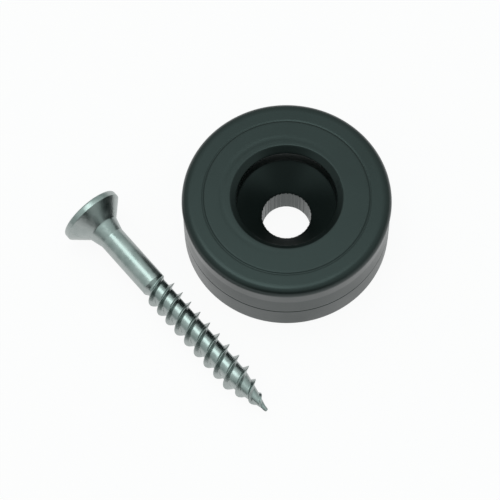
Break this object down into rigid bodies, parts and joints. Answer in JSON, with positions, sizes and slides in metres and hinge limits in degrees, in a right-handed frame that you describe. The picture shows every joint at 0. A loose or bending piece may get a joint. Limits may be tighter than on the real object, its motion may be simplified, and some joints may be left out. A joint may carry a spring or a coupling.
{
  "type": "screw-in furniture foot",
  "caption": "Round moulded furniture foot with a deep countersunk hole, and the countersunk wood screw that fastens it under a leg.",
  "frame": {"origin": "on the foot's axis, at its back face, which goes against the leg", "axes": "+Z along the foot's axis, out of the countersunk face; the screw lies on the back face's plane, on the -X and -Y side"},
  "size_m": [0.0598, 0.0556, 0.0146],
  "materials": {
    "foot": "dense black moulded rubber, smooth with a soft sheen",
    "screw": "bright zinc plate with a cold blue-green cast"
  },
  "bodies": {
    "root": {"foot_body": "foot", "wood_screw": "screw"}
  },
  "joints": []
}
